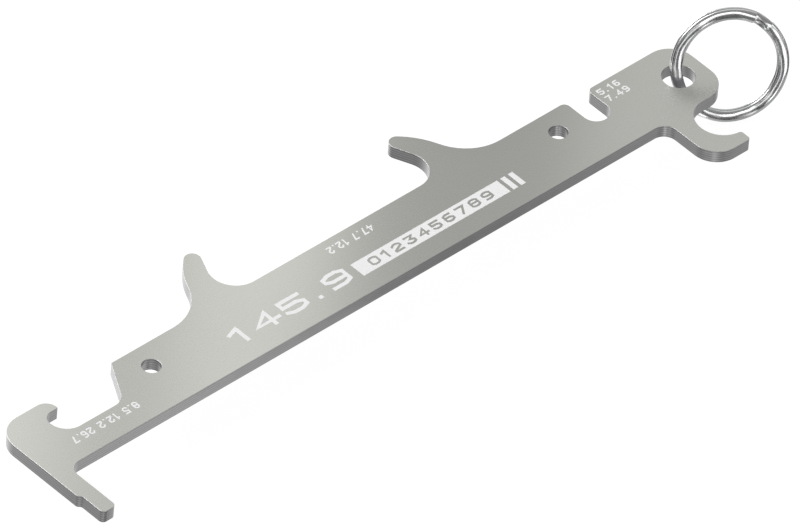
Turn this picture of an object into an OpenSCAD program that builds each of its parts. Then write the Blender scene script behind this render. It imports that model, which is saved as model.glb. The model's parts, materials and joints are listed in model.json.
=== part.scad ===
// Chain wear gauge: one flat plate cut to outline, with a split ring through the hole in its end.
// The plate lies flat. X runs along it, Y across it and Z up, and the origin lies on the underside,
// midway between the two small holes. All sizes are in millimetres and all angles in degrees.

/* [Plate] */
// Width of the straight body
body_width = 14.65; // [12:0.05:18]
// Thickness of the sheet
plate_thickness = 2.5; // [1.5:0.1:3]
// Radius of the two corners at the ring end
ring_end_radius = 4.84; // [1:0.02:6]
// Radius of the top corner at the prong end
prong_end_radius = 5; // [1:0.1:6]

/* [Prong] */
// How far the prong and the hook reach below the body
reach = 12.2; // [11:0.1:16]
// Distance from the outer face of the prong tip to the seat of the hook
gauge_span = 145.86; // [120:0.02:172]
// Width of the prong tip
prong_tip_width = 3.05; // [2.2:0.05:4]
// How far the tip stands back from the end of the plate
wear_step = 0.62; // [0.2:0.02:1.2]
// Distance from the body's lower edge down to the middle of the step
wear_step_drop = 6.63; // [5:0.05:8]
// Slope of the step
wear_step_slope = 37; // [20:1:60]
// Radius of the two curves of the step
wear_step_radius = 0.75; // [0.2:0.05:1]
// Radius of the corners of the prong tip
prong_tip_radius = 0.9; // [0.2:0.05:1.2]
// Radius of the inner corners where the prong and the hook leave the body
root_radius = 2.5; // [0.5:0.1:4]

/* [Hook] */
// Distance from the seat of the hook to the ring end
seat_inset = 11.52; // [10:0.02:16]
// Radius of the seat that takes a chain roller
seat_radius = 4.86; // [4:0.02:5.2]
// Width of the neck behind the seat
neck_width = 3.71; // [2.5:0.05:5]
// Radius of the outer corner of the hook
hook_radius = 4.82; // [1:0.02:6]
// Slope of the inner side of the toe
toe_slope = 8; // [4:1:15]
// Radius of the corners of the toe
toe_radius = 0.6; // [0.1:0.05:0.8]

/* [Fingers] */
// Distance between the centres of the two round finger tips
finger_spacing = 47.74; // [42:0.1:54]
// Height of the fingers above the body
finger_height = 12.17; // [10:0.05:15]
// Radius of the finger tips
finger_tip_radius = 1.55; // [1:0.05:2]
// Slope of the inner side of a finger
finger_inner_slope = 65.8; // [60:0.2:80]
// Radius at the foot of the inner side
finger_inner_radius = 4.85; // [2:0.05:6]
// Slope of the back of a finger near its foot
finger_back_slope = 67.5; // [60:0.5:75]
// Slope of the back of a finger where it meets the round tip
finger_tip_slope = 40; // [30:1:50]
// Drop from the top of a finger to the shoulder where its back steepens
finger_shoulder = 2.78; // [1.5:0.02:4]
// Radius of the rounded back of a finger
finger_back_radius = 15.2; // [5:0.1:16]
// Radius of the sweep from the back of a finger to the body
finger_sweep_radius = 9.6; // [4:0.1:10]

/* [Valve key] */
// Width of the slot
slot_width = 5.16; // [4.4:0.02:6]
// Depth of the slot
slot_depth = 7.49; // [5:0.01:9]
// Distance from the middle of the slot to the ring end
slot_inset = 22.93; // [20.5:0.01:30]
// Radius of the corners at the mouth of the slot
slot_mouth_radius = 1.15; // [0.2:0.05:2]

/* [Opener] */
// Distance from the end of the plate to the deepest side of the opener
opener_back = 8.52; // [7.5:0.02:10]
// Height of the opener's mouth, from the underside of the nose down to its floor
opener_mouth = 5.62; // [4.6:0.02:6.6]
// Distance from the end of the plate to the nose of the opener
nose_reach = 12.17; // [11:0.01:13]
// Depth of the nose below the top edge
nose_depth = 2.65; // [2:0.05:4]
// Radius of the top of the nose
nose_radius = 2.38; // [0.5:0.02:2.4]
// Radius of the lip under the nose
lip_radius = 0.2; // [0.05:0.05:0.25]
// Distance from the end of the plate to the top of the ramp
ramp_top = 26.68; // [24:0.02:30]
// Slope of the ramp
ramp_slope = 60.3; // [50:0.1:75]
// Radius where the ramp meets the floor
ramp_foot_radius = 3.05; // [1:0.05:5]
// Radius of the edge at the top of the ramp
ramp_top_radius = 0.5; // [0.1:0.1:2]
// Radius between the floor and the back of the opener
opener_low_radius = 3.6; // [1:0.1:3.9]

/* [Holes] */
// Diameter of the hole for the split ring
ring_hole_diameter = 6; // [5.6:0.05:7]
// Distance from the ring end to the middle of that hole
ring_hole_inset = 5.49; // [4.5:0.01:6.5]
// Diameter of the two small holes
small_hole_diameter = 3.5; // [2:0.1:4]
// Distance from the slot's nearer side to the middle of the small hole beside it
small_hole_gap = 6.09; // [4:0.01:12]
// Distance from the body's top edge to the small holes
small_hole_drop = 4.85; // [3.5:0.05:8]

/* [Split ring] */
// Outer diameter of the split ring
ring_diameter = 21; // [20:0.1:24]
// Width of the ring's wire, measured from inside to outside
wire_width = 2.04; // [1.6:0.02:2.2]
// Thickness of one turn of the wire
wire_thickness = 0.84; // [0.6:0.02:0.9]
// Length of ring over which the wire steps from one turn to the other
joggle_length = 4.6; // [3:0.1:8]
// Place of the wire's ends round the ring, measured from the side away from the hole
split_angle = 38; // [15:1:60]
// Turn of the ring about the hole, measured from the plate's length
ring_turn = -31.3; // [-45:0.5:-20]
// Lean of the ring's plane from the plate
ring_lean = 69.6; // [60:0.2:90]
// Rise of the ring's middle above the hole, within the ring's plane
ring_rise = 14.4; // [6:0.2:20]

/* [Hidden] */
// smoothness of circles and arcs
$fn = 120;
steel = [0.72, 0.73, 0.71];
chrome = [0.86, 0.87, 0.88];
// gap between the two turns of the wire, and between the wire's ends and the step beside them
turn_gap = 0.04;
end_gap = 0.35;
// stretches of wire in one full turn, and points round the wire's rounded section
coil_steps = 72;
corner_steps = 3;
wire_rounding = 0.38;
// how far a cutter passes a face, and how far a corner patch reaches past its corner, as a share
// of its radius
overcut = 1;
patch_lap = 0.2;
// how far an arc leans into its corner, so that it crosses the sides instead of grazing them
arc_lean = 0.001;

// overall length, from the prong end to the ring end
plate_length = wear_step + gauge_span + seat_inset;
left = -plate_length / 2;
right = plate_length / 2;
high = small_hole_drop;
low = high - body_width;
tip_y = low - reach;
tip_x = left + wear_step;
prong_x = tip_x + prong_tip_width;
seat_x = tip_x + gauge_span;
seat_centre = [seat_x + seat_radius, low - seat_radius];
neck_x = seat_x - neck_width;
slot_x = right - slot_inset;
small_hole_x = slot_x - slot_width / 2 - small_hole_gap;
ring_hole = [right - ring_hole_inset, (low + high) / 2];
coil_radius = (ring_diameter - wire_width) / 2;

function unit(v) = v / norm(v);
function cross2(a, b) = a[0] * b[1] - a[1] * b[0];
function xy(c) = [c[0], c[1]];
function mirrored(c) = [for (i = [len(c) - 1 : -1 : 0]) [-c[i][0], c[i][1], c[i][2]]];

// corners of the outline, each with the radius that rounds it, anticlockwise from the prong tip
step_half = wear_step / 2 * tan(wear_step_slope);
prong_corners = [
    [tip_x, tip_y, prong_tip_radius],
    [prong_x, tip_y, prong_tip_radius],
    [prong_x, low, root_radius]
];
// the inner side of the toe touches the seat where the seat's own slope is toe_slope
toe_line = low - seat_radius - seat_radius / cos(toe_slope);
function toe_y(x) = toe_line - (x - seat_centre[0]) * tan(toe_slope);
hook_corners = [
    [neck_x, low, root_radius],
    [neck_x, tip_y, hook_radius],
    [seat_centre[0], tip_y, toe_radius],
    [seat_centre[0], toe_y(seat_centre[0]), toe_radius],
    [seat_x, toe_y(seat_x), seat_radius],
    [seat_x, low, seat_radius]
];
end_corners = [
    [right, low, ring_end_radius],
    [right, high, ring_end_radius]
];
slot_corners = [
    [slot_x + slot_width / 2, high, slot_mouth_radius],
    [slot_x + slot_width / 2, high - slot_depth, slot_width / 2],
    [slot_x - slot_width / 2, high - slot_depth, slot_width / 2],
    [slot_x - slot_width / 2, high, slot_mouth_radius]
];

// a finger leans inwards: its inner side and its back both touch the round tip
finger_top = high + finger_height;
tip_centre = [finger_spacing / 2, finger_top - finger_tip_radius];
inner_top = finger_spacing / 2 - finger_tip_radius * tan((180 - finger_inner_slope) / 2);
crest_x = finger_spacing / 2 + finger_tip_radius * tan(finger_tip_slope / 2);
inner_root = inner_top + finger_height / tan(finger_inner_slope);
shoulder_x = crest_x + finger_shoulder / tan(finger_tip_slope);
back_root = shoulder_x + (finger_height - finger_shoulder) / tan(finger_back_slope);
finger_corners = [
    [back_root, high, finger_sweep_radius],
    [shoulder_x, finger_top - finger_shoulder, finger_back_radius],
    [crest_x, finger_top, finger_tip_radius],
    [inner_top, finger_top, finger_tip_radius],
    [inner_root, high, finger_inner_radius]
];

nose_y = high - nose_depth;
floor_y = nose_y - opener_mouth;
opener_corners = [
    [left + ramp_top, high, ramp_top_radius],
    [left + ramp_top - (high - floor_y) / tan(ramp_slope), floor_y, ramp_foot_radius],
    [left + opener_back, floor_y, opener_low_radius],
    [left + opener_back, nose_y, opener_mouth - opener_low_radius],
    [left + nose_reach, nose_y, lip_radius],
    [left + nose_reach, high, nose_radius]
];
butt_corners = [
    [left, high, prong_end_radius],
    [left, low - wear_step_drop + step_half, wear_step_radius],
    [tip_x, low - wear_step_drop - step_half, wear_step_radius]
];
outline = concat(prong_corners, hook_corners, end_corners, slot_corners, finger_corners,
    mirrored(finger_corners), opener_corners, butt_corners);

function corner(c, i) = xy(c[(i + len(c)) % len(c)]);
function side(c, i) = norm(corner(c, i + 1) - corner(c, i));
function turn(c, i) = cross2(corner(c, i) - corner(c, i - 1), corner(c, i + 1) - corner(c, i));
function half_turn(c, i) =
    acos(unit(corner(c, i) - corner(c, i - 1)) * unit(corner(c, i + 1) - corner(c, i))) / 2;
// length of side that a corner's arc takes up
function taken(c, i) = let (k = (i + len(c)) % len(c)) c[k][2] * tan(half_turn(c, k));
// an arc shrinks where the two arcs on a side would otherwise overlap
function share(c, i) =
    min(1, side(c, i) / (taken(c, i) + taken(c, i + 1)), side(c, i - 1) / (taken(c, i - 1) + taken(c, i)));

// the patch between a sharp corner and the arc that rounds it, reaching past the corner
module corner_patch(c, i) {
    at = corner(c, i);
    radius = c[i][2] * share(c, i);
    back = unit(corner(c, i - 1) - at);
    forward = unit(corner(c, i + 1) - at);
    inwards = unit(back + forward);
    run = radius * tan(half_turn(c, i));
    centre = at + inwards * norm([run, radius]);
    difference() {
        polygon([at - inwards * radius * patch_lap, at + forward * run, centre, at + back * run]);
        translate(centre - inwards * arc_lean) circle(r = radius);
    }
}

// a sheet of a closed outline with every corner rounded by its own radius
module rounded_sheet(c, thickness) {
    difference() {
        union() {
            linear_extrude(height = thickness) polygon([for (p = c) xy(p)]);
            for (i = [0 : len(c) - 1])
                if (turn(c, i) < 0)
                    linear_extrude(height = thickness) corner_patch(c, i);
        }
        for (i = [0 : len(c) - 1])
            if (turn(c, i) > 0)
                translate([0, 0, -overcut])
                    linear_extrude(height = thickness + 2 * overcut) corner_patch(c, i);
    }
}

module hole(at, diameter) {
    translate([at[0], at[1], -overcut])
        cylinder(d = diameter, h = plate_thickness + 2 * overcut);
}

module gauge_plate() {
    color(steel)
    difference() {
        rounded_sheet(outline, plate_thickness);
        hole(ring_hole, ring_hole_diameter);
        for (s = [-1, 1])
            hole([s * small_hole_x, 0], small_hole_diameter);
    }
}

// the wire's section, a rounded rectangle about its own middle
section = let (w = wire_width / 2 - wire_rounding, h = wire_thickness / 2 - wire_rounding)
    [for (q = [[1, 1, 0], [-1, 1, 90], [-1, -1, 180], [1, -1, 270]])
        for (k = [0 : corner_steps])
            [q[0] * w + wire_rounding * cos(q[2] + 90 * k / corner_steps),
             q[1] * h + wire_rounding * sin(q[2] + 90 * k / corner_steps)]];

// the wire lies flat for nearly one turn, steps down past its own ends, and lies flat for another
joggle_angle = joggle_length / coil_radius * 180 / PI;
end_angle = joggle_angle + end_gap / coil_radius * 180 / PI;
turn_pitch = wire_thickness + turn_gap;
function smooth(t) = let (u = min(1, max(0, t))) u * u * (3 - 2 * u);
function coil_height(a) = turn_pitch * (0.5 - smooth((a - 360 + joggle_angle / 2) / joggle_angle));
coil_start = end_angle / 2;
coil_end = 720 - end_angle / 2;
coil_rings = round((coil_end - coil_start) / 360 * coil_steps);
coil_points = [for (i = [0 : coil_rings])
    let (a = coil_start + (coil_end - coil_start) * i / coil_rings)
        for (p = section)
            [(coil_radius + p[0]) * cos(a), (coil_radius + p[0]) * sin(a), coil_height(a) + p[1]]];
coil_faces = let (n = len(section)) concat(
    [[for (k = [0 : n - 1]) k]],
    [for (i = [0 : coil_rings - 1]) for (k = [0 : n - 1])
        [i * n + k, (i + 1) * n + k, (i + 1) * n + (k + 1) % n, i * n + (k + 1) % n]],
    [[for (k = [n - 1 : -1 : 0]) coil_rings * n + k]]
);

module split_ring() {
    color(chrome)
    translate([ring_hole[0], ring_hole[1], plate_thickness / 2])
        rotate([0, 0, ring_turn])
            rotate([ring_lean, 0, 0])
                rotate([0, 0, ring_rise])
                    translate([coil_radius, 0, 0])
                        rotate([0, 0, split_angle])
                            polyhedron(points = coil_points, faces = coil_faces, convexity = 6);
}

gauge_plate();
split_ring();
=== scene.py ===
"""The looks of a chain wear gauge.

It is a satin steel plate with darker cut walls, printed figures and a printed band, and a chromed
split ring, on a pale floor under soft studio light.

Lengths are in metres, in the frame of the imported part: X along the plate, Y across it and Z up.
The origin is on the underside, midway between the two small holes.
"""

import json
import logging
import math
from dataclasses import dataclass, field
from enum import Enum

import bmesh
import bpy
from mathutils import Matrix, Vector

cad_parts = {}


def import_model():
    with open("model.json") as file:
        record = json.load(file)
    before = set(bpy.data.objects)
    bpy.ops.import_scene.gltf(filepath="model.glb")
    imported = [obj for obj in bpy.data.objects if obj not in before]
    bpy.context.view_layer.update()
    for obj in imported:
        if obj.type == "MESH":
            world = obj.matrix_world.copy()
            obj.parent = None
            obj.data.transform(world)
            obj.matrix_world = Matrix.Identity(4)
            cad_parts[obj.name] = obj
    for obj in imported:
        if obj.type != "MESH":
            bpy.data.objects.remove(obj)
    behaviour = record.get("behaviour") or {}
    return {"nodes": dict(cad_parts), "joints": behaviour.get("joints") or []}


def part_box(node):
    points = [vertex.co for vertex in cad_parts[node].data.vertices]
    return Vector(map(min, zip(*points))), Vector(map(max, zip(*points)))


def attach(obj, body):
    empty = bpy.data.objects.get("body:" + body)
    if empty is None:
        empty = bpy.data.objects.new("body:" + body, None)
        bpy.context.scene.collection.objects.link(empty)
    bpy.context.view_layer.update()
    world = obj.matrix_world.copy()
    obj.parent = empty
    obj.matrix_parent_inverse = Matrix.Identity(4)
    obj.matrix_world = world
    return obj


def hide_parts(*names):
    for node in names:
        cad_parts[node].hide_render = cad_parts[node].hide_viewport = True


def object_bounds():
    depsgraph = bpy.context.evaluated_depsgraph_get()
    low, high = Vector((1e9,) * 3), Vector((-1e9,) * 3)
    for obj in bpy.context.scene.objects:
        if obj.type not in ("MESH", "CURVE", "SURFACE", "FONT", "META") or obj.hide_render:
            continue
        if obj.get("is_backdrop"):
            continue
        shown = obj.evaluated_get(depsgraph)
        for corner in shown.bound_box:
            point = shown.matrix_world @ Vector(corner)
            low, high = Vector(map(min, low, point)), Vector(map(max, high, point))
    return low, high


MM = 0.001
log = logging.getLogger("chain_gauge")

Colour = tuple[float, float, float]
Triple = tuple[float, float, float]
Pair = tuple[float, float]
Stroke = list[tuple[float, float]]
Value = float | bpy.types.NodeSocket

WHITE = (1.0, 1.0, 1.0, 1.0)

# a colour mix node has each name once for every type of data, so its sockets go by number
MIX_SHARE, MIX_DARK, MIX_LIGHT, MIX_RESULT = 0, 6, 7, 2


class Node(Enum):
    """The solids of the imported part."""

    PLATE = "gauge_plate"
    RING = "split_ring"


class Body(Enum):
    """The bodies that move against each other."""

    GAUGE = "gauge"
    RING = "ring"


class Slot(Enum):
    """The record's material slots."""

    PLATE = "plate"
    RING = "ring"


class Wiring:
    """Adds nodes to a tree and joins them."""

    def __init__(self, tree: bpy.types.NodeTree) -> None:
        """Starts on a tree.

        Args:
            tree: The node tree that gets the nodes.
        """
        self.tree = tree

    def node(
        self, kind: str, inputs: dict[str, object] | None = None, **settings: object
    ) -> bpy.types.Node:
        """Adds one node.

        Args:
            kind: The node's type name.
            inputs: Values or sockets for the node's inputs, by input name.
            **settings: The node's own properties.

        Returns:
            The new node.
        """
        node = self.tree.nodes.new(kind)
        for name, value in settings.items():
            setattr(node, name, value)
        for name, value in (inputs or {}).items():
            self.feed(node.inputs[name], value)
        return node

    def feed(self, socket: bpy.types.NodeSocket, value: object) -> None:
        """Links a socket to an input, or sets the input's own value.

        Args:
            socket: The input.
            value: A socket to link, or a plain value.
        """
        if isinstance(value, bpy.types.NodeSocket):
            self.tree.links.new(value, socket)
        else:
            socket.default_value = value

    def math(self, operation: str, first: Value, second: Value = 0.0) -> bpy.types.NodeSocket:
        """Adds one sum.

        Args:
            operation: The name of the operation, such as MULTIPLY.
            first: The first number or socket.
            second: The second number or socket.

        Returns:
            The result's socket.
        """
        node = self.node("ShaderNodeMath", operation=operation)
        self.feed(node.inputs[0], first)
        self.feed(node.inputs[1], second)
        return node.outputs[0]

    def span(
        self, value: Value, low: float, high: float, shape: str = "LINEAR"
    ) -> bpy.types.NodeSocket:
        """Maps the stretch from low to high onto 0 to 1.

        Args:
            value: The number or socket to map.
            low: What becomes 0.
            high: What becomes 1.
            shape: LINEAR or SMOOTHSTEP.

        Returns:
            The result's socket.
        """
        inputs = {"Value": value, "From Min": low, "From Max": high}
        return self.node("ShaderNodeMapRange", inputs, interpolation_type=shape).outputs["Result"]

    def between(self, share: Value, low: float, high: float) -> bpy.types.NodeSocket:
        """Maps 0 to 1 onto the stretch from low to high.

        Args:
            share: The number or socket to map.
            low: What 0 becomes.
            high: What 1 becomes.

        Returns:
            The result's socket.
        """
        inputs = {"Value": share, "To Min": low, "To Max": high}
        return self.node("ShaderNodeMapRange", inputs).outputs["Result"]

    def blend(self, share: Value, away: Value, near: Value) -> bpy.types.NodeSocket:
        """Blends two numbers.

        Args:
            share: The number or socket that picks, from 0 to 1.
            away: The result at 0.
            near: The result at 1.

        Returns:
            The result's socket.
        """
        rest = self.math("MULTIPLY", away, self.math("SUBTRACT", 1.0, share))
        return self.math("ADD", self.math("MULTIPLY", near, share), rest)


class Surface(Wiring):
    """A material's node tree, with its shader, its object coordinates and its grain."""

    def __init__(self, name: str) -> None:
        """Makes an empty material with a principled shader.

        Args:
            name: The material's name.
        """
        self.material = bpy.data.materials.new(name)
        self.material.use_nodes = True
        super().__init__(self.material.node_tree)
        self.shader = self.tree.nodes["Principled BSDF"]
        self.place = self.node("ShaderNodeTexCoord").outputs["Object"]

    def noise(self, scale: Triple, detail: float = 3.0) -> bpy.types.NodeSocket:
        """Adds noise that may be drawn out along an axis.

        Args:
            scale: How many features there are in a metre along X, Y and Z.
            detail: How many finer layers the noise has.

        Returns:
            The noise's socket, from 0 to 1.
        """
        mapping = self.node("ShaderNodeMapping", {"Vector": self.place, "Scale": scale})
        inputs = {"Vector": mapping.outputs["Vector"], "Scale": 1.0, "Detail": detail}
        return self.node("ShaderNodeTexNoise", inputs).outputs["Fac"]

    def tint(self, share: Value, dark: Colour, light: Colour) -> bpy.types.NodeSocket:
        """Blends two colours.

        Args:
            share: 0 for the dark colour and 1 for the light one.
            dark: The colour at 0.
            light: The colour at 1.

        Returns:
            The blended colour's socket.
        """
        node = self.node("ShaderNodeMix", data_type="RGBA")
        self.feed(node.inputs[MIX_SHARE], share)
        self.feed(node.inputs[MIX_DARK], (*dark, 1.0))
        self.feed(node.inputs[MIX_LIGHT], (*light, 1.0))
        return node.outputs[MIX_RESULT]

    def shade(self, inputs: dict[str, object]) -> None:
        """Feeds the shader.

        Args:
            inputs: Values or sockets for the shader's inputs, by input name.
        """
        for name, value in inputs.items():
            self.feed(self.shader.inputs[name], value)

    def bump(self, height: Value, depth: float, strength: float = 1.0) -> None:
        """Gives the shader a relief.

        Args:
            height: The relief's socket, from 0 to 1.
            depth: The relief's full depth in metres.
            strength: How much of the relief shows.
        """
        inputs = {"Height": height, "Distance": depth, "Strength": strength}
        self.shade({"Normal": self.node("ShaderNodeBump", inputs).outputs["Normal"]})


@dataclass(frozen=True)
class SatinSteel:
    """Stainless sheet with a fine satin face. Scales are in features per metre."""

    dark: Colour = (0.615, 0.624, 0.580)
    light: Colour = (0.650, 0.657, 0.614)
    roughness: Pair = (0.265, 0.285)
    cloud_scale: float = 60.0
    drawn_scale: Triple = (400.0, 9000.0, 400.0)
    speck_scale: float = 14000.0
    grain: float = 0.002 * MM
    grain_share: float = 0.04

    def material(self) -> bpy.types.Material:
        """Builds the finish.

        Returns:
            The finished material.
        """
        surface = Surface("satin_steel")
        cloud = surface.noise((self.cloud_scale,) * 3)
        drawn = surface.noise(self.drawn_scale, detail=2.0)
        speck = surface.noise((self.speck_scale,) * 3, detail=1.0)
        surface.shade(
            {
                "Base Color": surface.tint(cloud, self.dark, self.light),
                "Metallic": 1.0,
                "Roughness": surface.between(drawn, *self.roughness),
            }
        )
        surface.bump(surface.math("ADD", drawn, speck), self.grain, self.grain_share)
        return surface.material


@dataclass(frozen=True)
class CutEdge:
    """The cut walls of the sheet, darker than its faces, with fine lines that run round them."""

    dark: Colour = (0.33, 0.33, 0.33)
    light: Colour = (0.62, 0.62, 0.63)
    roughness: Pair = (0.27, 0.33)
    cloud_scale: float = 250.0
    line_pitch: float = 0.50 * MM
    line_share: float = 0.75
    waver: float = 4.0
    waver_scale: Triple = (60.0, 60.0, 900.0)
    relief: float = 0.008 * MM
    relief_share: float = 0.5

    def material(self) -> bpy.types.Material:
        """Builds the finish.

        Returns:
            The finished material.
        """
        surface = Surface("cut_edge")
        height = surface.node("ShaderNodeSeparateXYZ", {"Vector": surface.place}).outputs["Z"]
        phase = surface.math("MULTIPLY", height, 2 * math.pi / self.line_pitch)
        shifts = surface.math("MULTIPLY", surface.noise(self.waver_scale), self.waver)
        wave = surface.math("SINE", surface.math("ADD", phase, shifts))
        lines = surface.span(wave, -1.0, 1.0)
        cloud = surface.noise((self.cloud_scale,) * 3)
        lined = surface.math("MULTIPLY", lines, self.line_share)
        clouded = surface.math("MULTIPLY", cloud, 1.0 - self.line_share)
        share = surface.math("ADD", lined, clouded)
        surface.shade(
            {
                "Base Color": surface.tint(share, self.dark, self.light),
                "Metallic": 1.0,
                "Roughness": surface.between(cloud, *self.roughness),
            }
        )
        surface.bump(lines, self.relief, self.relief_share)
        return surface.material


@dataclass(frozen=True)
class BrightChrome:
    """Polished plating on the ring's wire, with soft ripples that break up what it mirrors."""

    colour: Colour = (0.86, 0.865, 0.875)
    roughness: Pair = (0.15, 0.21)
    ripples_per_metre: float = 300.0
    ripple: float = 0.30 * MM

    def material(self) -> bpy.types.Material:
        """Builds the finish.

        Returns:
            The finished material.
        """
        surface = Surface("bright_chrome")
        cloud = surface.noise((self.ripples_per_metre,) * 3, detail=0.0)
        surface.shade(
            {
                "Base Color": (*self.colour, 1.0),
                "Metallic": 1.0,
                "Roughness": surface.between(cloud, *self.roughness),
            }
        )
        surface.bump(cloud, self.ripple)
        return surface.material


@dataclass(frozen=True)
class WhiteInk:
    """Thin matt print on the plate's face."""

    dark: Colour = (0.89, 0.89, 0.89)
    light: Colour = (0.95, 0.95, 0.95)
    roughness: float = 0.55
    specks_per_metre: float = 4000.0
    relief: float = 0.005 * MM
    relief_share: float = 0.3

    def material(self) -> bpy.types.Material:
        """Builds the finish.

        Returns:
            The finished material.
        """
        surface = Surface("white_ink")
        speck = surface.noise((self.specks_per_metre,) * 3)
        tint = surface.tint(speck, self.dark, self.light)
        surface.shade({"Base Color": tint, "Roughness": self.roughness})
        surface.bump(speck, self.relief, self.relief_share)
        return surface.material


@dataclass(frozen=True)
class PaleFloor:
    """A plain pale floor that stays nearly white under the part."""

    colour: Colour = (0.12, 0.12, 0.12)
    roughness: float = 0.9
    glow: float = 0.95

    def material(self) -> bpy.types.Material:
        """Builds the finish.

        Returns:
            The finished material.
        """
        surface = Surface("pale_floor")
        surface.shade(
            {
                "Base Color": (*self.colour, 1.0),
                "Roughness": self.roughness,
                "Specular IOR Level": 0.0,
                "Emission Color": WHITE,
                "Emission Strength": self.glow,
            }
        )
        return surface.material


class Recipe(Wiring):
    """A Geometry Nodes tree with named inputs, and the mesh that it makes."""

    def __init__(self, name: str, **sizes: float) -> None:
        """Starts a tree.

        Args:
            name: The name of the tree and of the piece.
            **sizes: The tree's inputs and their values.
        """
        self.name = name
        self.sizes = sizes
        super().__init__(bpy.data.node_groups.new(name, "GeometryNodeTree"))
        self.sockets = {}
        for label in sizes:
            self.sockets[label] = self.tree.interface.new_socket(
                name=label, in_out="INPUT", socket_type="NodeSocketFloat"
            )
        self.tree.interface.new_socket(
            name="Piece", in_out="OUTPUT", socket_type="NodeSocketGeometry"
        )
        self.given = self.node("NodeGroupInput")

    def size(self, label: str) -> bpy.types.NodeSocket:
        """Returns the socket of a named size."""
        return self.given.outputs[label]

    def end(self, geometry: bpy.types.NodeSocket, material: bpy.types.Material) -> bpy.types.Object:
        """Finishes the tree and bakes its mesh.

        Args:
            geometry: The geometry that the tree has made.
            material: The finish of the whole piece.

        Returns:
            A plain mesh object at the origin, with no modifier.
        """
        real = self.node("GeometryNodeRealizeInstances", {"Geometry": geometry})
        dressed = self.node(
            "GeometryNodeSetMaterial", {"Geometry": real.outputs["Geometry"], "Material": material}
        )
        out = self.node("NodeGroupOutput")
        self.tree.links.new(dressed.outputs["Geometry"], out.inputs["Piece"])
        piece = bpy.data.objects.new(self.name, bpy.data.meshes.new(self.name))
        bpy.context.scene.collection.objects.link(piece)
        modifier = piece.modifiers.new(self.name, "NODES")
        modifier.node_group = self.tree
        for label, value in self.sizes.items():
            modifier[self.sockets[label].identifier] = value
        depsgraph = bpy.context.evaluated_depsgraph_get()
        mesh = bpy.data.meshes.new_from_object(piece.evaluated_get(depsgraph), depsgraph=depsgraph)
        piece.modifiers.clear()
        piece.data = mesh
        return piece


def add_piece(name: str, mesh: bpy.types.Mesh) -> bpy.types.Object:
    """Puts a mesh into the scene.

    Args:
        name: The piece's name.
        mesh: The finished mesh, in the part's frame.

    Returns:
        The new object, at the origin.
    """
    mesh.name = name
    piece = bpy.data.objects.new(name, mesh)
    bpy.context.scene.collection.objects.link(piece)
    return piece


def settle(name: str, solid: bmesh.types.BMesh) -> bpy.types.Mesh:
    """Turns a mesh that is being edited into a finished one, and frees it.

    Args:
        name: The finished mesh's name.
        solid: The edited mesh.

    Returns:
        The finished mesh.
    """
    mesh = bpy.data.meshes.new(name)
    solid.to_mesh(mesh)
    solid.free()
    return mesh


def break_rims(
    solid: bmesh.types.BMesh, angle: float, width: float, steps: int, clamp: bool
) -> None:
    """Rounds the sharp edges of a mesh.

    Args:
        solid: The mesh.
        angle: How far the two faces at an edge have to turn for it to count as sharp.
        width: How far the rounding reaches from the edge.
        steps: How many faces the rounding has across.
        clamp: Whether a rounding ends where it would meet the next one.
    """
    rims = [
        edge
        for edge in solid.edges
        if len(edge.link_faces) == 2 and edge.calc_face_angle() > angle
    ]
    bmesh.ops.bevel(
        solid,
        geom=rims,
        offset=width,
        offset_type="OFFSET",
        segments=steps,
        profile=0.5,
        affect="EDGES",
        clamp_overlap=clamp,
    )


@dataclass
class GaugePlate:
    """The flat plate, with its rims broken and its walls finished apart from its faces."""

    rim_break: float = 0.05 * MM
    rim_steps: int = 2
    weld: float = 0.001 * MM
    flat_angle: float = math.radians(1.0)
    rim_angle: float = math.radians(60.0)
    crease_angle: float = math.radians(20.0)
    wall_slope: float = 0.95
    face: SatinSteel = field(default_factory=SatinSteel)
    wall: CutEdge = field(default_factory=CutEdge)

    def build(self, node: bpy.types.Object) -> bpy.types.Mesh:
        """Copies the solid's mesh and breaks its rims.

        Args:
            node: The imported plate.

        Returns:
            The finished mesh.
        """
        sheet = bmesh.new()
        sheet.from_mesh(node.data)
        bmesh.ops.remove_doubles(sheet, verts=sheet.verts, dist=self.weld)
        bmesh.ops.dissolve_limit(
            sheet,
            angle_limit=self.flat_angle,
            verts=sheet.verts,
            edges=sheet.edges,
            delimit={"NORMAL"},
        )
        break_rims(sheet, self.rim_angle, self.rim_break, self.rim_steps, clamp=False)
        return settle("plate", sheet)

    def dress(self, node: bpy.types.Object) -> bpy.types.Object:
        """Builds the plate and gives its faces and walls their finishes.

        Args:
            node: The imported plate.

        Returns:
            The finished piece.
        """
        mesh = self.build(node)
        mesh.materials.append(self.face.material())
        mesh.materials.append(self.wall.material())
        for polygon in mesh.polygons:
            polygon.use_smooth = True
            polygon.material_index = int(abs(polygon.normal.z) < self.wall_slope)
        mesh.set_sharp_from_angle(angle=self.crease_angle)
        piece = add_piece("steel_plate", mesh)
        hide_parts(Node.PLATE.value)
        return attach(piece, Body.GAUGE.value)


class Reading(Enum):
    """Which way up a row of figures is read."""

    UPRIGHT = 0.0
    TURNED = math.pi


OVAL: Stroke = [
    (0.3, 0), (0.7, 0), (1, 0.3), (1, 1.7), (0.7, 2), (0.3, 2), (0, 1.7), (0, 0.3), (0.3, 0)
]

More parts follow.
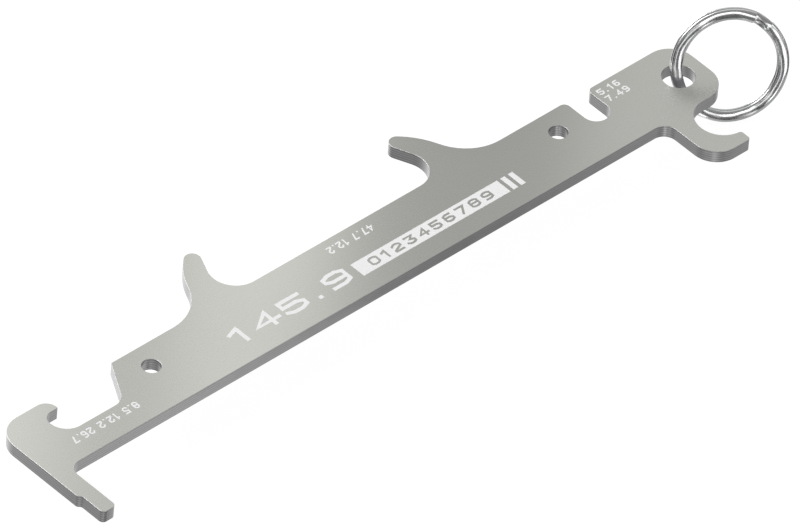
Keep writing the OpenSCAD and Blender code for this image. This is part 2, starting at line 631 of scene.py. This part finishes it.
# the strokes of each figure on a grid one wide and two high
STROKES: dict[str, list[Stroke]] = {
    " ": [],
    ".": [[(0.49, 0), (0.51, 0)]],
    "0": [OVAL],
    "1": [[(0.15, 1.6), (0.6, 2), (0.6, 0)]],
    "2": [[(0, 1.6), (0.3, 2), (0.7, 2), (1, 1.7), (1, 1.2), (0, 0.3), (0, 0), (1, 0)]],
    "3": [[(0, 2), (1, 2), (0.5, 1.15), (1, 0.8), (1, 0.3), (0.7, 0), (0.3, 0), (0, 0.35)]],
    "4": [[(0.75, 0), (0.75, 2), (0, 0.6), (1.1, 0.6)]],
    "5": [
        [(1, 2), (0, 2), (0, 1.15), (0.7, 1.15), (1, 0.85), (1, 0.3), (0.7, 0), (0.3, 0), (0, 0.3)]
    ],
    "6": [
        [(0.9, 2), (0.3, 2), (0, 1.7), (0, 0.3), (0.3, 0), (0.7, 0), (1, 0.3), (1, 0.8)]
        + [(0.7, 1.1), (0, 1.1)]
    ],
    "7": [[(0, 2), (1, 2), (0.35, 0)]],
    "8": [OVAL, [(0, 1.05), (1, 1.05)]],
    "9": [
        [(0.1, 0), (0.7, 0), (1, 0.3), (1, 1.7), (0.7, 2), (0.3, 2), (0, 1.7), (0, 1.2)]
        + [(0.3, 0.9), (1, 0.9)]
    ],
}

# how much of the pitch a narrow figure takes
NARROW: dict[str, float] = {" ": 0.7, ".": 0.55, "1": 0.8}


@dataclass
class FigureRow:
    """A row of plain figures, printed with strokes of one width.

    A stroke whose ends lie closer than the share `closing` of its width is a closed one, and
    `sharpest` keeps the mitre of a sharp corner short.
    """

    name: str
    text: str
    centre: Vector
    height: float
    width: float
    pitch: float
    stroke: float
    top: float
    ink: bpy.types.Material
    reading: Reading = Reading.UPRIGHT
    thickness: float = 0.010 * MM
    sunk: float = 0.004 * MM
    climb: float = 0.0004 * MM
    closing: float = 0.01
    sharpest: float = 0.5

    def ribbon(self, sheet: bmesh.types.BMesh, points: list[Vector]) -> None:
        """Adds one stroke, with its corners mitred.

        It climbs a hair from point to point, so it never lies level with itself where it crosses.

        Args:
            sheet: The mesh that gets the stroke.
            points: The stroke's middle line.
        """
        closed = (points[0] - points[-1]).length < self.stroke * self.closing
        count = len(points) - closed
        ways = [(ahead - here).normalized() for here, ahead in zip(points, points[1:])]
        rows = []
        for i in range(count):
            before = ways[i - 1] if i > 0 or closed else ways[0]
            after = ways[i] if i < len(ways) else ways[-1]
            normals = [Vector((-way.y, way.x, 0.0)) for way in (before, after)]
            side = (normals[0] + normals[1]).normalized()
            reach = side * (self.stroke / 2 / max(side.dot(normals[0]), self.sharpest))
            end = Vector()
            if not closed and i in (0, count - 1):
                end = after * (self.stroke / 2) * (-1 if i == 0 else 1)
            middle = points[i] + end + Vector((0.0, 0.0, self.climb * len(sheet.verts)))
            rows.append([sheet.verts.new(middle + reach), sheet.verts.new(middle - reach)])
        for i in range(count - 1 + closed):
            near, far = rows[i], rows[(i + 1) % count]
            sheet.faces.new((near[1], far[1], far[0], near[0]))

    def build(self) -> bpy.types.Object:
        """Builds the row in its place on the plate's face.

        Returns:
            The finished piece.
        """
        sheet = bmesh.new()
        widths = [NARROW.get(letter, 1.0) * self.pitch for letter in self.text]
        room = Vector((self.width - self.stroke, (self.height - self.stroke) / 2, 0.0))
        for place, letter in enumerate(self.text):
            across = sum(widths[:place]) + (widths[place] - sum(widths)) / 2
            for stroke in STROKES[letter]:
                figure = bmesh.new()
                points = [
                    Vector((across + (x - 0.5) * room.x, (y - 1) * room.y, 0.0)) for x, y in stroke
                ]
                self.ribbon(figure, points)
                sheet.from_mesh(settle(letter, figure))
        grown = bmesh.ops.extrude_face_region(sheet, geom=sheet.faces[:], use_keep_orig=True)
        raised = [item for item in grown["geom"] if isinstance(item, bmesh.types.BMVert)]
        bmesh.ops.translate(sheet, verts=raised, vec=(0.0, 0.0, self.thickness))
        bmesh.ops.recalc_face_normals(sheet, faces=sheet.faces)
        mesh = settle(self.name, sheet)
        mesh.materials.append(self.ink)
        base = Vector((self.centre.x, self.centre.y, self.top - self.sunk))
        turn = Matrix.Rotation(self.reading.value, 4, "Z")
        mesh.transform(Matrix.Translation(base) @ turn)
        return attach(add_piece(self.name, mesh), Body.GAUGE.value)


@dataclass
class PrintedBand:
    """A solid printed band with a row of bars after its right end."""

    top: float
    ink: bpy.types.Material
    start: Vector = field(default_factory=lambda: Vector((-3.7, -5.95, 0.0)) * MM)
    length: float = 34.3 * MM
    height: float = 3.5 * MM
    bars: int = 2
    bar_gap: float = 0.75 * MM
    bar_width: float = 1.05 * MM
    thickness: float = 0.008 * MM
    sunk: float = 0.004 * MM

    def build(self) -> bpy.types.Object:
        """Builds the band and its bars by one rule.

        Returns:
            The band and the bars as one piece.
        """
        recipe = Recipe(
            "printed_band",
            **{
                "Length": self.length,
                "Height": self.height,
                "Thickness": self.thickness,
                "Bars": float(self.bars),
                "Bar Gap": self.bar_gap,
                "Bar Width": self.bar_width,
            },
        )
        count = recipe.math("ADD", recipe.size("Bars"), 1.0)
        whole = recipe.node("FunctionNodeFloatToInt", {"Float": count})
        pitch = recipe.math("ADD", recipe.size("Bar Gap"), recipe.size("Bar Width"))
        line = recipe.node(
            "GeometryNodeMeshLine", {"Count": whole.outputs[0], "Offset": (0.0, 0.0, 0.0)}
        )
        index = recipe.node("GeometryNodeInputIndex").outputs[0]
        is_bar = recipe.math("GREATER_THAN", index, 0.5)
        before = recipe.math("MULTIPLY", recipe.math("SUBTRACT", index, 1.0), pitch)
        lead = recipe.math("ADD", recipe.size("Length"), recipe.size("Bar Gap"))
        across = recipe.math("MULTIPLY", is_bar, recipe.math("ADD", lead, before))
        spot = recipe.node("ShaderNodeCombineXYZ", {"X": across})
        placed = recipe.node(
            "GeometryNodeSetPosition",
            {"Geometry": line.outputs["Mesh"], "Position": spot.outputs[0]},
        )
        shorter = recipe.math("SUBTRACT", recipe.size("Bar Width"), recipe.size("Length"))
        long = recipe.math("ADD", recipe.size("Length"), recipe.math("MULTIPLY", is_bar, shorter))
        scale = recipe.node(
            "ShaderNodeCombineXYZ",
            {"X": long, "Y": recipe.size("Height"), "Z": recipe.size("Thickness")},
        )
        block = recipe.node("GeometryNodeMeshCube", {"Size": (1.0, 1.0, 1.0)})
        based = recipe.node(
            "GeometryNodeTransform",
            {"Geometry": block.outputs["Mesh"], "Translation": (0.5, 0.5, 0.5)},
        )
        blocks = recipe.node(
            "GeometryNodeInstanceOnPoints",
            {
                "Points": placed.outputs["Geometry"],
                "Instance": based.outputs["Geometry"],
                "Scale": scale.outputs[0],
            },
        )
        piece = recipe.end(blocks.outputs["Instances"], self.ink)
        corner = Vector((self.start.x, self.start.y, self.top - self.sunk))
        piece.data.transform(Matrix.Translation(corner))
        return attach(piece, Body.GAUGE.value)


@dataclass
class Print:
    """The print on the plate's face: the plate's own sizes in millimetres, and the ten digits."""

    top: float
    ink: bpy.types.Material
    steel: bpy.types.Material
    over_band: float = 0.006 * MM

    def row(self, name: str, text: str, place: Pair, **sizes: object) -> FigureRow:
        """Sets out one row of figures.

        Args:
            name: The piece's name.
            text: The figures.
            place: The middle of the row in millimetres.
            **sizes: The row's other fields.

        Returns:
            The row, not built yet.
        """
        centre = Vector((*place, 0.0)) * MM
        sizes = {"top": self.top, "ink": self.ink, **sizes}
        return FigureRow(name=name, text=text, centre=centre, **sizes)

    def rows(self) -> list[FigureRow]:
        """Sets out all the figures.

        Returns:
            Every row, not built yet.
        """
        large = {"height": 4.0 * MM, "width": 5.2 * MM, "pitch": 6.5 * MM, "stroke": 0.78 * MM}
        inner = {"height": 2.1 * MM, "width": 2.1 * MM, "pitch": 3.0 * MM, "stroke": 0.44 * MM}
        small = {"height": 1.7 * MM, "width": 1.1 * MM, "pitch": 1.4 * MM, "stroke": 0.31 * MM}
        slot = {"height": 1.5 * MM, "width": 1.15 * MM, "pitch": 1.55 * MM, "stroke": 0.30 * MM}
        knocked_out = {"top": self.top + self.over_band, "ink": self.steel}
        turned = {"reading": Reading.TURNED}
        return [
            self.row("span_figures", "145.9", (-18.9, -3.7), **large),
            self.row("band_figures", "0123456789", (13.5, -4.2), **inner, **knocked_out),
            self.row("finger_figures", "47.7 12.2", (0.8, 2.35), **small, **turned),
            self.row("opener_figures", "8.5 12.2 26.7", (-63.0, -5.55), **small, **turned),
            self.row("slot_width_figures", "5.16", (62.0, 3.0), **slot),
            self.row("slot_depth_figures", "7.49", (62.2, 0.9), **slot),
        ]

    def build(self) -> list[bpy.types.Object]:
        """Builds the band and every row, and returns the pieces."""
        return [PrintedBand(self.top, self.ink).build(), *(row.build() for row in self.rows())]


@dataclass
class SplitRing:
    """The ring's flat wire, coiled into two turns with one step between them."""

    hole: Vector
    diameter: float = 21.0 * MM
    wire_width: float = 2.04 * MM
    wire_thickness: float = 0.84 * MM
    crown: float = 1.0
    turn_gap: float = 0.04 * MM
    end_gap: float = 0.1 * MM
    joggle: float = 3.2 * MM
    turn: float = math.radians(-31.3)
    lean: float = math.radians(69.6)
    rise: float = math.radians(14.4)
    split: float = math.radians(38.0)
    steps: int = 420
    section_steps: int = 48
    end_break: float = 0.06 * MM
    end_steps: int = 3
    end_angle: float = math.radians(70.0)
    finish: BrightChrome = field(default_factory=BrightChrome)

    @property
    def radius(self) -> float:
        """The radius of the wire's middle line."""
        return (self.diameter - self.wire_width) / 2

    def place(self) -> Matrix:
        """Sets out where the coil hangs.

        Returns:
            The place of the coil's own frame in the part's frame.
        """
        return (
            Matrix.Translation(self.hole)
            @ Matrix.Rotation(self.turn, 4, "Z")
            @ Matrix.Rotation(self.lean, 4, "X")
            @ Matrix.Rotation(self.rise, 4, "Z")
            @ Matrix.Translation((self.radius, 0.0, 0.0))
            @ Matrix.Rotation(self.split, 4, "Z")
        )

    def path(self, recipe: Recipe) -> bpy.types.NodeSocket:
        """Adds the wire's middle line to the recipe.

        Args:
            recipe: The tree that makes the ring.

        Returns:
            The socket of the curve.
        """
        count = recipe.node("FunctionNodeFloatToInt", {"Float": recipe.size("Steps")}).outputs[0]
        line = recipe.node("GeometryNodeMeshLine", {"Count": count, "Offset": (MM, 0.0, 0.0)})
        curve = recipe.node("GeometryNodeMeshToCurve", {"Mesh": line.outputs["Mesh"]})
        index = recipe.node("GeometryNodeInputIndex").outputs[0]
        share = recipe.math("DIVIDE", index, recipe.math("SUBTRACT", recipe.size("Steps"), 1.0))
        run = recipe.math("SUBTRACT", recipe.size("End"), recipe.size("Start"))
        angle = recipe.math("ADD", recipe.size("Start"), recipe.math("MULTIPLY", share, run))
        half = recipe.math("MULTIPLY", recipe.size("Joggle"), 0.5)
        stepped = recipe.node(
            "ShaderNodeMapRange",
            {
                "Value": angle,
                "From Min": recipe.math("SUBTRACT", 2 * math.pi, half),
                "From Max": recipe.math("ADD", 2 * math.pi, half),
                "To Min": 0.5,
                "To Max": -0.5,
            },
            interpolation_type="SMOOTHSTEP",
        ).outputs["Result"]
        spot = recipe.node(
            "ShaderNodeCombineXYZ",
            {
                "X": recipe.math("MULTIPLY", recipe.size("Radius"), recipe.math("COSINE", angle)),
                "Y": recipe.math("MULTIPLY", recipe.size("Radius"), recipe.math("SINE", angle)),
                "Z": recipe.math("MULTIPLY", recipe.size("Turn Pitch"), stepped),
            },
        )
        bent = recipe.node(
            "GeometryNodeSetPosition",
            {"Geometry": curve.outputs["Curve"], "Position": spot.outputs[0]},
        )
        upright = recipe.node(
            "GeometryNodeSetCurveNormal", {"Curve": bent.outputs["Geometry"]}, mode="Z_UP"
        )
        return upright.outputs["Curve"]

    def section(self, recipe: Recipe) -> bpy.types.NodeSocket:
        """Adds the wire's rounded section to the recipe.

        Args:
            recipe: The tree that makes the ring.

        Returns:
            The socket of the closed curve.
        """
        circle = recipe.node(
            "GeometryNodeCurvePrimitiveCircle", {"Resolution": self.section_steps, "Radius": 1.0}
        )
        spot = recipe.node("GeometryNodeInputPosition").outputs[0]
        axes = recipe.node("ShaderNodeSeparateXYZ", {"Vector": spot})
        outward = recipe.math("ABSOLUTE", axes.outputs["X"])
        full = recipe.math("POWER", outward, recipe.size("Crown"))
        signed = recipe.math("MULTIPLY", full, recipe.math("SIGN", axes.outputs["X"]))
        half_width = recipe.math("MULTIPLY", recipe.size("Wire Width"), 0.5)
        half_thickness = recipe.math("MULTIPLY", recipe.size("Wire Thickness"), 0.5)
        across = recipe.math("MULTIPLY", signed, half_width)
        through = recipe.math("MULTIPLY", axes.outputs["Y"], half_thickness)
        shaped = recipe.node("ShaderNodeCombineXYZ", {"X": across, "Y": through})
        return recipe.node(
            "GeometryNodeSetPosition",
            {"Geometry": circle.outputs["Curve"], "Position": shaped.outputs[0]},
        ).outputs["Geometry"]

    def build(self) -> bpy.types.Object:
        """Sweeps the section along the coil.

        Returns:
            The ring in its place, with the rims of its wire still sharp.
        """
        joggle = self.joggle / self.radius
        ends = joggle + self.end_gap / self.radius
        recipe = Recipe(
            "chrome_ring",
            **{
                "Steps": float(self.steps),
                "Radius": self.radius,
                "Wire Width": self.wire_width,
                "Wire Thickness": self.wire_thickness,
                "Crown": self.crown,
                "Turn Pitch": self.wire_thickness + self.turn_gap,
                "Joggle": joggle,
                "Start": ends / 2,
                "End": 4 * math.pi - ends / 2,
            },
        )
        sweep = recipe.node(
            "GeometryNodeCurveToMesh",
            {"Curve": self.path(recipe), "Profile Curve": self.section(recipe), "Fill Caps": True},
        )
        piece = recipe.end(sweep.outputs["Mesh"], self.finish.material())
        piece.data.transform(self.place())
        return piece

    def dress(self) -> bpy.types.Object:
        """Builds the ring and breaks the rims of its wire's ends.

        Returns:
            The finished piece.
        """
        piece = self.build()
        wire = bmesh.new()
        wire.from_mesh(piece.data)
        bmesh.ops.recalc_face_normals(wire, faces=wire.faces)
        break_rims(wire, self.end_angle, self.end_break, self.end_steps, clamp=True)
        for polygon in wire.faces:
            polygon.smooth = True
        wire.to_mesh(piece.data)
        wire.free()
        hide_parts(Node.RING.value)
        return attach(piece, Body.RING.value)


@dataclass(frozen=True)
class Panel:
    """A soft light panel, aimed at a point and hidden from the camera."""

    name: str
    place: Vector
    aim: Vector
    side: Vector
    size: Pair
    glow: float

    @property
    def power(self) -> float:
        """The power that gives the panel its brightness."""
        return math.pi * self.size[0] * self.size[1] * self.glow

    def build(self) -> bpy.types.Object:
        """Builds the panel.

        Returns:
            The light, in its place.
        """
        light = bpy.data.lights.new(self.name, "AREA")
        light.shape = "RECTANGLE"
        light.size, light.size_y = self.size
        light.energy = self.power
        panel = bpy.data.objects.new(self.name, light)
        back = (self.place - self.aim).normalized()
        across = (self.side - back * self.side.dot(back)).normalized()
        turn = Matrix((across, back.cross(across), back)).transposed()
        panel.matrix_world = Matrix.Translation(self.place) @ turn.to_4x4()
        panel.visible_camera = False
        bpy.context.scene.collection.objects.link(panel)
        return panel


class Mirror(Enum):
    """Where the camera's sight goes on from a face of the part, as a direction."""

    TOP = (0.533, 0.513, 0.673)
    FRONT = (0.533, -0.513, -0.673)
    RING = (-0.348, -0.937, -0.041)
    CORNER = (-0.513, -0.533, -0.673)


class Surroundings(Wiring):
    """A world's node tree, with the direction that is looked in and how far it climbs."""

    def __init__(self, name: str) -> None:
        """Makes a world with an empty tree.

        Args:
            name: The world's name.
        """
        self.world = bpy.data.worlds.new(name)
        self.world.use_nodes = True
        super().__init__(self.world.node_tree)
        self.tree.nodes.clear()
        self.way = self.node("ShaderNodeTexCoord").outputs["Generated"]
        self.climb = self.node("ShaderNodeSeparateXYZ", {"Vector": self.way}).outputs["Z"]

    def towards(self, aim: Triple, power: float) -> bpy.types.NodeSocket:
        """Adds a share that grows from 0 on the side away from a direction to 1 on its own side.

        Args:
            aim: The direction.
            power: How fast the share falls away from it.

        Returns:
            The share's socket.
        """
        product = self.node("ShaderNodeVectorMath", operation="DOT_PRODUCT")
        self.feed(product.inputs[0], self.way)
        self.feed(product.inputs[1], aim)
        return self.math("POWER", self.span(product.outputs["Value"], -1.0, 1.0), power)


@dataclass(frozen=True)
class RoomLight:
    """The room's light, which is plain white to the camera.

    To the part it has a soft wall where the plate's face looks, a dark band at the horizon, and a
    ground that is lighter on the far side and in one corner. Where the ring looks it has patches.
    """

    wall: Pair = (0.15, 0.485)
    wall_power: float = 2.0
    ground: Pair = (0.11, 3.1)
    ground_aim: Triple = (0.30, 0.68, 0.0)
    ground_power: float = 4.0
    corner_glow: float = 0.36
    corner_power: float = 8.0
    seam: float = 0.02
    horizon: Pair = (0.05, 0.35)
    horizon_share: float = 0.4
    patch_scale: float = 3.6
    patch_turn: float = 2.7
    patch_edges: Pair = (0.40, 0.70)
    patch_power: float = 2.0
    patch_glow: Pair = (0.05, 2.25)
    patch_climb: Pair = (0.6, 0.45)
    patch_reach: Pair = (0.66, 0.8)

    def around(self, room: Surroundings) -> bpy.types.NodeSocket:
        """Adds the wall, the ground and the band between them.

        Args:
            room: The tree that gets the nodes.

        Returns:
            The brightness's socket.
        """
        upper = room.between(room.towards(Mirror.TOP.value, self.wall_power), *self.wall)
        ground = room.between(room.towards(self.ground_aim, self.ground_power), *self.ground)
        by_corner = room.towards(Mirror.CORNER.value, self.corner_power)
        lower = room.math("ADD", ground, room.math("MULTIPLY", by_corner, self.corner_glow))
        above = room.span(room.climb, -self.seam, self.seam)
        clear = room.span(room.math("ABSOLUTE", room.climb), *self.horizon, "SMOOTHSTEP")
        band = room.between(clear, self.horizon_share, 1.0)
        return room.math("MULTIPLY", room.blend(above, lower, upper), band)

    def patches(self, room: Surroundings) -> bpy.types.NodeSocket:
        """Adds the patches that the ring mirrors.

        Args:
            room: The tree that gets the nodes.

        Returns:
            The brightness's socket.
        """
        noise = room.node(
            "ShaderNodeTexNoise",
            {"Vector": room.way, "W": self.patch_turn, "Scale": self.patch_scale, "Detail": 1.0},
            noise_dimensions="4D",
        )
        patch = room.span(noise.outputs["Fac"], *self.patch_edges, "SMOOTHSTEP")
        return room.between(room.math("POWER", patch, self.patch_power), *self.patch_glow)

    def build(self) -> bpy.types.World:
        """Builds the room's light and gives it to the scene.

        Returns:
            The finished world.
        """
        room = Surroundings("room")
        level = room.span(room.math("ABSOLUTE", room.climb), *self.patch_climb, "SMOOTHSTEP")
        ahead = room.span(room.towards(Mirror.RING.value, 1.0), *self.patch_reach, "SMOOTHSTEP")
        by_ring = room.math("MULTIPLY", ahead, level)
        glow = room.blend(by_ring, self.around(room), self.patches(room))
        lit = room.node("ShaderNodeBackground", {"Color": WHITE, "Strength": glow})
        white = room.node("ShaderNodeBackground", {"Color": WHITE, "Strength": 1.0})
        seen = room.node("ShaderNodeLightPath").outputs["Is Camera Ray"]
        both = room.node("ShaderNodeMixShader", {"Fac": seen})
        room.feed(both.inputs[1], lit.outputs[0])
        room.feed(both.inputs[2], white.outputs[0])
        room.node("ShaderNodeOutputWorld", {"Surface": both.outputs[0]})
        bpy.context.scene.world = room.world
        return room.world


@dataclass
class Studio:
    """The pale floor, the light and the camera."""

    floor_height: float
    plate_top: float
    floor_radius: float = 1.5
    floor_steps: int = 96
    azimuth: float = math.radians(-136.08)
    elevation: float = math.radians(42.30)
    roll: float = math.radians(5.01)
    distance: float = 3.8021
    aim: Vector = field(default_factory=lambda: Vector((4.31, -6.49, 1.25)) * MM)
    lens: float = 1000.0
    clip: Pair = (0.1, 10.0)
    across: Vector = field(default_factory=lambda: Vector((0.7333, -0.6799, 0.0)))
    panel_distance: float = 110 * MM
    panel_depth: float = 160 * MM
    room: RoomLight = field(default_factory=RoomLight)

    def floor(self) -> bpy.types.Object:
        """Builds the round floor, which mirrors and shadows pass through.

        Returns:
            The floor, as a part of the stage.
        """
        disc = bmesh.new()
        bmesh.ops.create_circle(
            disc, cap_ends=True, segments=self.floor_steps, radius=self.floor_radius
        )
        mesh = settle("floor", disc)
        mesh.materials.append(PaleFloor().material())
        mesh.transform(Matrix.Translation((0.0, 0.0, self.floor_height)))
        piece = add_piece("floor", mesh)
        piece.visible_glossy = False
        piece.visible_shadow = False
        piece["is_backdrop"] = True
        return piece

    def strip(self, name: str, mirror: Mirror, span: Pair, glow: float) -> Panel:
        """Sets out a long panel that a face of the plate mirrors over part of the picture's width.

        Args:
            name: The panel's name.
            mirror: The face that mirrors the panel.
            span: Where the panel's sides lie across the picture, in millimetres from the middle.
            glow: How bright the panel is.

        Returns:
            The panel, not built yet.
        """
        middle = self.across * (sum(span) / 2 * MM) + Vector((0.0, 0.0, self.plate_top))
        place = middle + Vector(mirror.value) * self.panel_distance
        size = ((span[1] - span[0]) * MM, self.panel_depth)
        return Panel(name, place, middle, self.across, size, glow)

    def lights(self) -> list[bpy.types.Object]:
        """Builds the soft panels.

        Returns:
            The lights, in their places.
        """
        centre = Vector((0.0, 0.0, 0.0))
        level = Vector((1.0, 0.0, 0.0))
        panels = [
            self.strip("left_top", Mirror.TOP, (-100.0, -49.0), 0.58),
            self.strip("middle_top", Mirror.TOP, (-33.0, -3.0), 0.53),
            self.strip("right_top", Mirror.TOP, (38.0, 110.0), 0.22),
            self.strip("left_front", Mirror.FRONT, (-100.0, -46.0), 0.27),
            self.strip("middle_front", Mirror.FRONT, (-38.0, -10.0), 0.42),
            self.strip("right_front", Mirror.FRONT, (45.0, 110.0), 0.24),
            Panel(
                name="key",
                place=Vector((-0.4, 0.69, 0.8)),
                aim=centre,
                side=level,
                size=(1.0, 1.0),
                glow=3.3,
            ),
            Panel(
                name="side_spot",
                place=Vector((0.9, -0.3, 0.35)),
                aim=centre,
                side=level,
                size=(0.4, 0.4),
                glow=0.7,
            ),
        ]
        return [panel.build() for panel in panels]

    def camera(self) -> bpy.types.Object:
        """Builds the long-lens camera at the photograph's angle.

        Returns:
            The scene's camera.
        """
        back = Vector(
            (
                math.cos(self.elevation) * math.cos(self.azimuth),
                math.cos(self.elevation) * math.sin(self.azimuth),
                math.sin(self.elevation),
            )
        )
        data = bpy.data.cameras.new("camera")
        data.lens = self.lens
        data.clip_start, data.clip_end = self.clip
        camera = bpy.data.objects.new("camera", data)
        camera.rotation_mode = "QUATERNION"
        level = back.to_track_quat("Z", "Y")
        camera.rotation_quaternion = level @ Matrix.Rotation(self.roll, 3, "Z").to_quaternion()
        camera.location = self.aim + back * self.distance
        bpy.context.scene.collection.objects.link(camera)
        bpy.context.scene.camera = camera
        return camera

    def build(self) -> None:
        """Builds the whole studio."""
        self.camera()
        self.floor()
        self.room.build()
        self.lights()
        bpy.context.scene.view_settings.view_transform = "Standard"


def report(piece: bpy.types.Object) -> None:
    """Logs a piece's name and how many faces it has.

    Args:
        piece: The finished piece.
    """
    log.info("%s: %d faces", piece.name, len(piece.data.polygons))


def main() -> None:
    """Builds the studio and every piece."""
    logging.basicConfig(level=logging.INFO, format="%(message)s")
    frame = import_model()
    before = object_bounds()
    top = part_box(Node.PLATE.value)[1].z
    ring_hole = Vector(frame["joints"][0]["pos_m"])
    Studio(floor_height=before[0].z, plate_top=top).build()
    plate = GaugePlate().dress(frame["nodes"][Node.PLATE.value])
    print_pieces = Print(top, WhiteInk().material(), plate.data.materials[0]).build()
    ring = SplitRing(hole=ring_hole).dress()
    for piece in (plate, *print_pieces, ring):
        report(piece)


if __name__ == "__main__":
    main()
